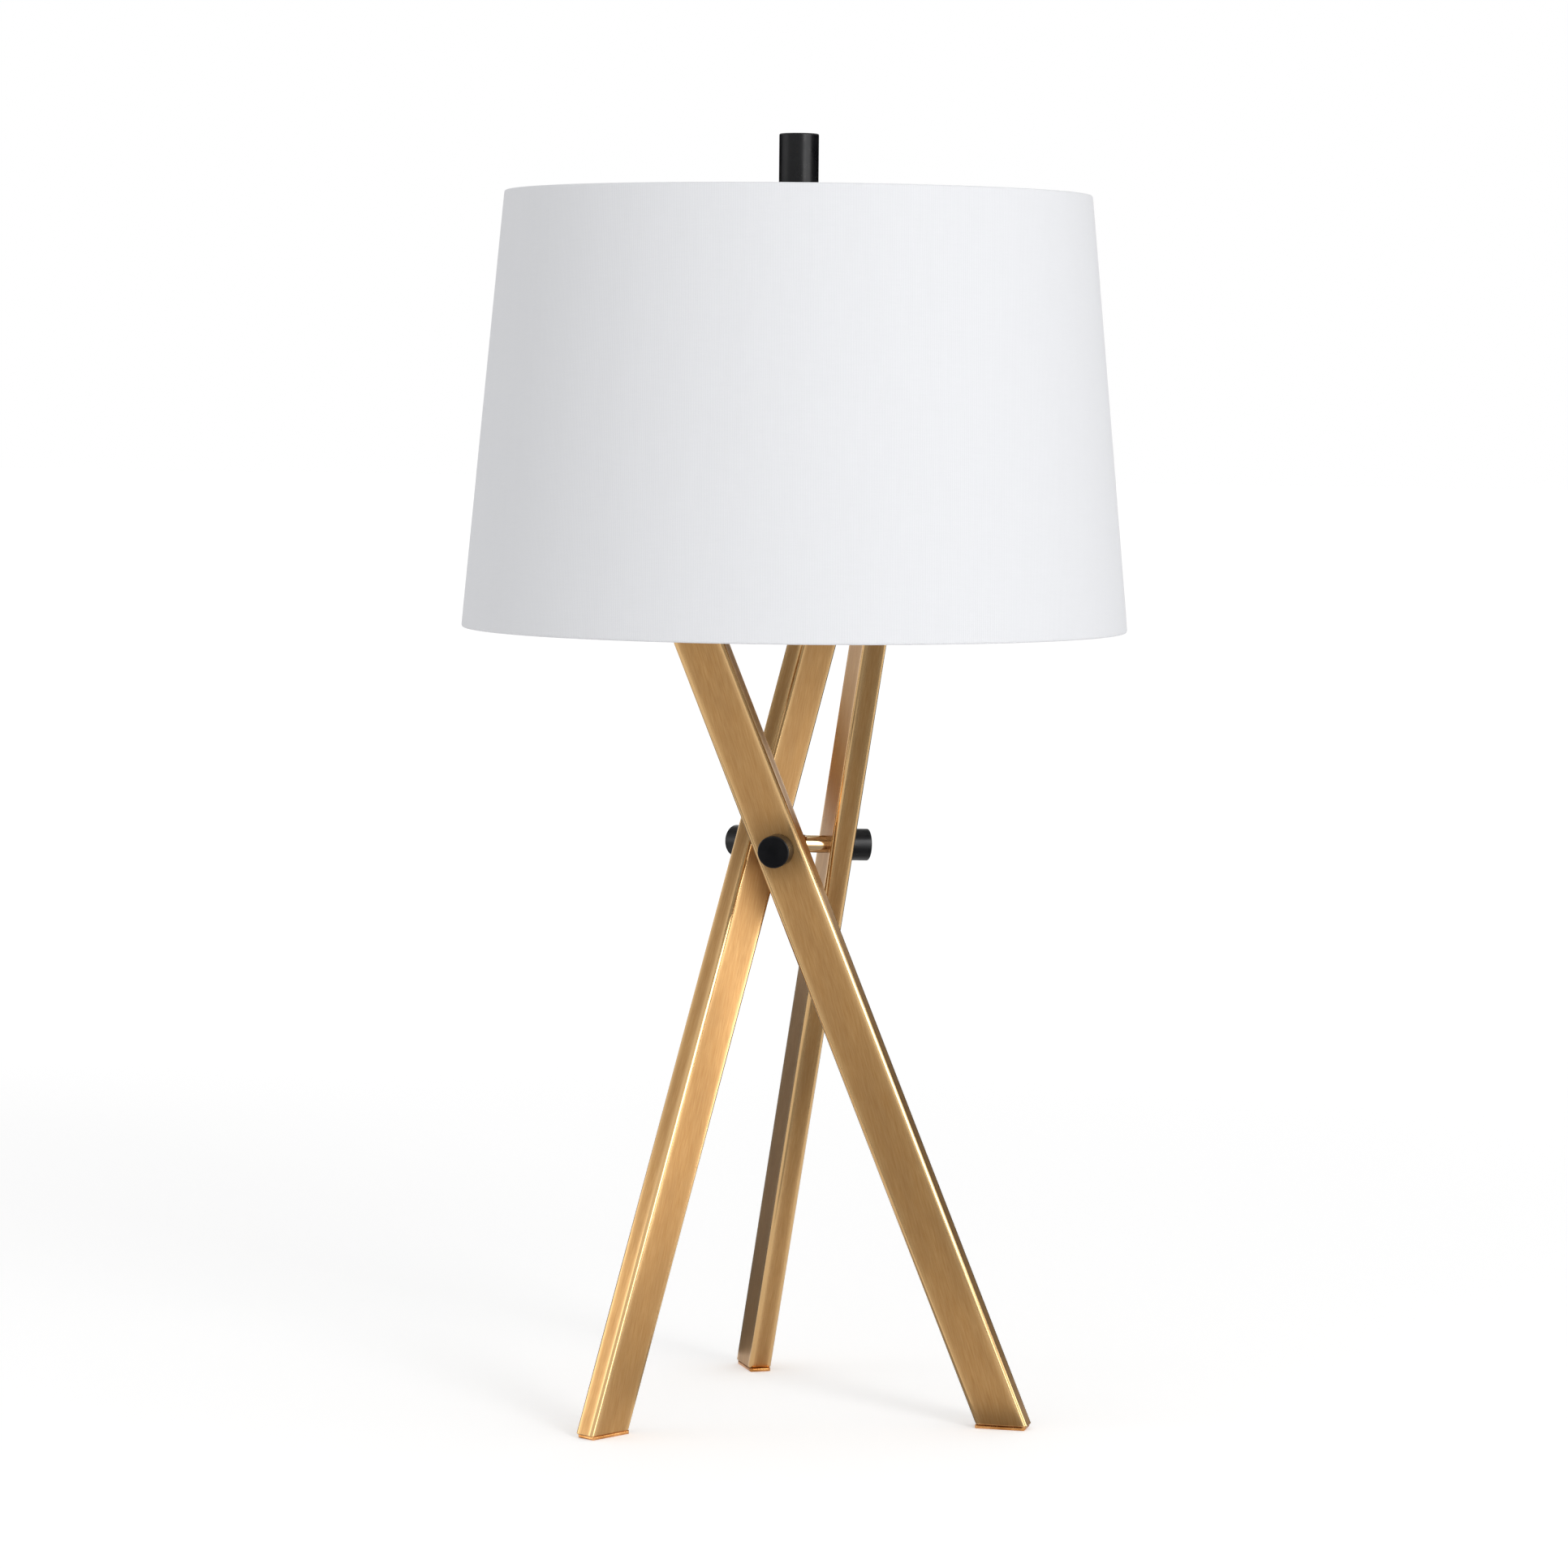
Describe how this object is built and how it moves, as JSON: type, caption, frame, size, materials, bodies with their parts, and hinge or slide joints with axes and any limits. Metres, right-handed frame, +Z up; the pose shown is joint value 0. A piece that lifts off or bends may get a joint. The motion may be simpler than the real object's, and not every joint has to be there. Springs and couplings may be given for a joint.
{
  "type": "tripod table lamp",
  "caption": "Table lamp on crossed rectangular tube legs that lean past each other round a small hub with clamping knobs, with a tapered drum shade held by a harp and finial.",
  "frame": {"origin": "on the floor plane, at the lamp's upright axis, which runs through the hub, the socket and the finial", "axes": "+Z up along the lamp's axis; -Y towards the front leg's knob; +X to the right seen from that side"},
  "size_m": [0.3806, 0.3806, 0.7344],
  "materials": {
    "brushed_brass": "brushed along its length, aged gold-brown, lacquered",
    "bronze_glide": "satin copper-bronze",
    "zinc_steel": "bright zinc",
    "black_enamel": "satin black powder coat",
    "black_fibre": "matt black fibre",
    "polished_brass": "polished brass plate",
    "paper_liner": "plain insulating board",
    "black_phenolic": "moulded phenolic, semi-matt",
    "bright_aluminium": "bright rolled",
    "frosted_globe": "frosted white",
    "white_plastic": "smooth white moulding",
    "white_linen": "plain white linen weave with upright slubs",
    "white_styrene": "smooth satin white",
    "lead_jacket": "smooth black jacket"
  },
  "bodies": {
    "stand": {"leg_front": "brushed_brass", "leg_right": "brushed_brass", "leg_left": "brushed_brass", "glide_front": "bronze_glide", "glide_right": "bronze_glide", "glide_left": "bronze_glide", "top_plug_front": "zinc_steel", "top_plug_right": "zinc_steel", "top_plug_left": "zinc_steel", "hub_boss": "brushed_brass", "hub_arm_front": "brushed_brass", "hub_arm_right": "brushed_brass", "hub_arm_left": "brushed_brass", "leg_sleeves": "zinc_steel", "knob_washers": "black_fibre", "socket_bracket": "brushed_brass", "bracket_screws": "zinc_steel", "nipple": "polished_brass", "nipple_nut": "polished_brass", "nut_washer": "zinc_steel", "harp_saddle": "polished_brass", "harp_bow": "polished_brass", "socket_cap": "polished_brass", "socket_shell": "polished_brass", "socket_liner": "paper_liner", "socket_core": "black_phenolic", "screw_shell": "bright_aluminium", "centre_contact": "polished_brass", "lead_bushing": "black_phenolic", "outlet_bushing": "black_phenolic", "inner_lead": "lead_jacket"},
    "knob_front": {"knob_front": "black_enamel"},
    "knob_right": {"knob_right": "black_enamel"},
    "knob_left": {"knob_left": "black_enamel"},
    "lock_sleeve_right": {"lock_sleeve_right": "polished_brass"},
    "lock_sleeve_left": {"lock_sleeve_left": "polished_brass"},
    "switch": {"switch_shaft": "zinc_steel", "switch_knob": "black_phenolic"},
    "bulb": {"bulb_globe": "frosted_globe", "bulb_collar": "white_plastic", "bulb_screw_base": "bright_aluminium", "bulb_tip": "bright_aluminium"},
    "swivel": {"harp_stud": "polished_brass"},
    "shade": {"shade_linen": "white_linen", "shade_liner": "white_styrene", "top_ring": "zinc_steel", "bottom_ring": "zinc_steel", "spider_arms": "zinc_steel", "spider_washer": "zinc_steel"},
    "finial": {"finial_knob": "black_enamel", "finial_collar": "polished_brass"}
  },
  "joints": [
    {"name": "knob_front_turn", "type": "hinge", "parent": "stand", "child": "knob_front", "pos_m": [0, -0.03963, 0.32789], "axis": [0, -0.9996, -0.0279], "continuous": true},
    {"name": "knob_right_turn", "type": "hinge", "parent": "stand", "child": "knob_right", "pos_m": [0.03433, 0.01982, 0.32789], "axis": [0.8657, 0.4998, -0.0279], "continuous": true},
    {"name": "knob_left_turn", "type": "hinge", "parent": "stand", "child": "knob_left", "pos_m": [-0.03433, 0.01982, 0.32789], "axis": [-0.8657, 0.4998, -0.0279], "continuous": true},
    {"name": "lock_sleeve_right_lift", "type": "slide", "parent": "stand", "child": "lock_sleeve_right", "axis": [0, 0, 1], "range_m": [0, 0.012]},
    {"name": "lock_sleeve_left_lift", "type": "slide", "parent": "stand", "child": "lock_sleeve_left", "axis": [0, 0, 1], "range_m": [0, 0.012]},
    {"name": "switch_turn", "type": "hinge", "parent": "stand", "child": "switch", "pos_m": [0, -0.026, 0.517], "axis": [0, -1, 0], "continuous": true},
    {"name": "bulb_screw", "type": "hinge", "parent": "stand", "child": "bulb", "pos_m": [0, 0, 0.553], "axis": [0, 0, 1], "continuous": true},
    {"name": "harp_swivel", "type": "hinge", "parent": "stand", "child": "swivel", "pos_m": [0, 0, 0.685], "axis": [0, 0, 1], "continuous": true},
    {"name": "shade_lift", "type": "slide", "parent": "swivel", "child": "shade", "axis": [0, 0, 1], "range_m": [0, 0.27]},
    {"name": "finial_screw", "type": "hinge", "parent": "shade", "child": "finial", "pos_m": [0, 0, 0.705], "axis": [0, 0, 1], "continuous": true}
  ]
}
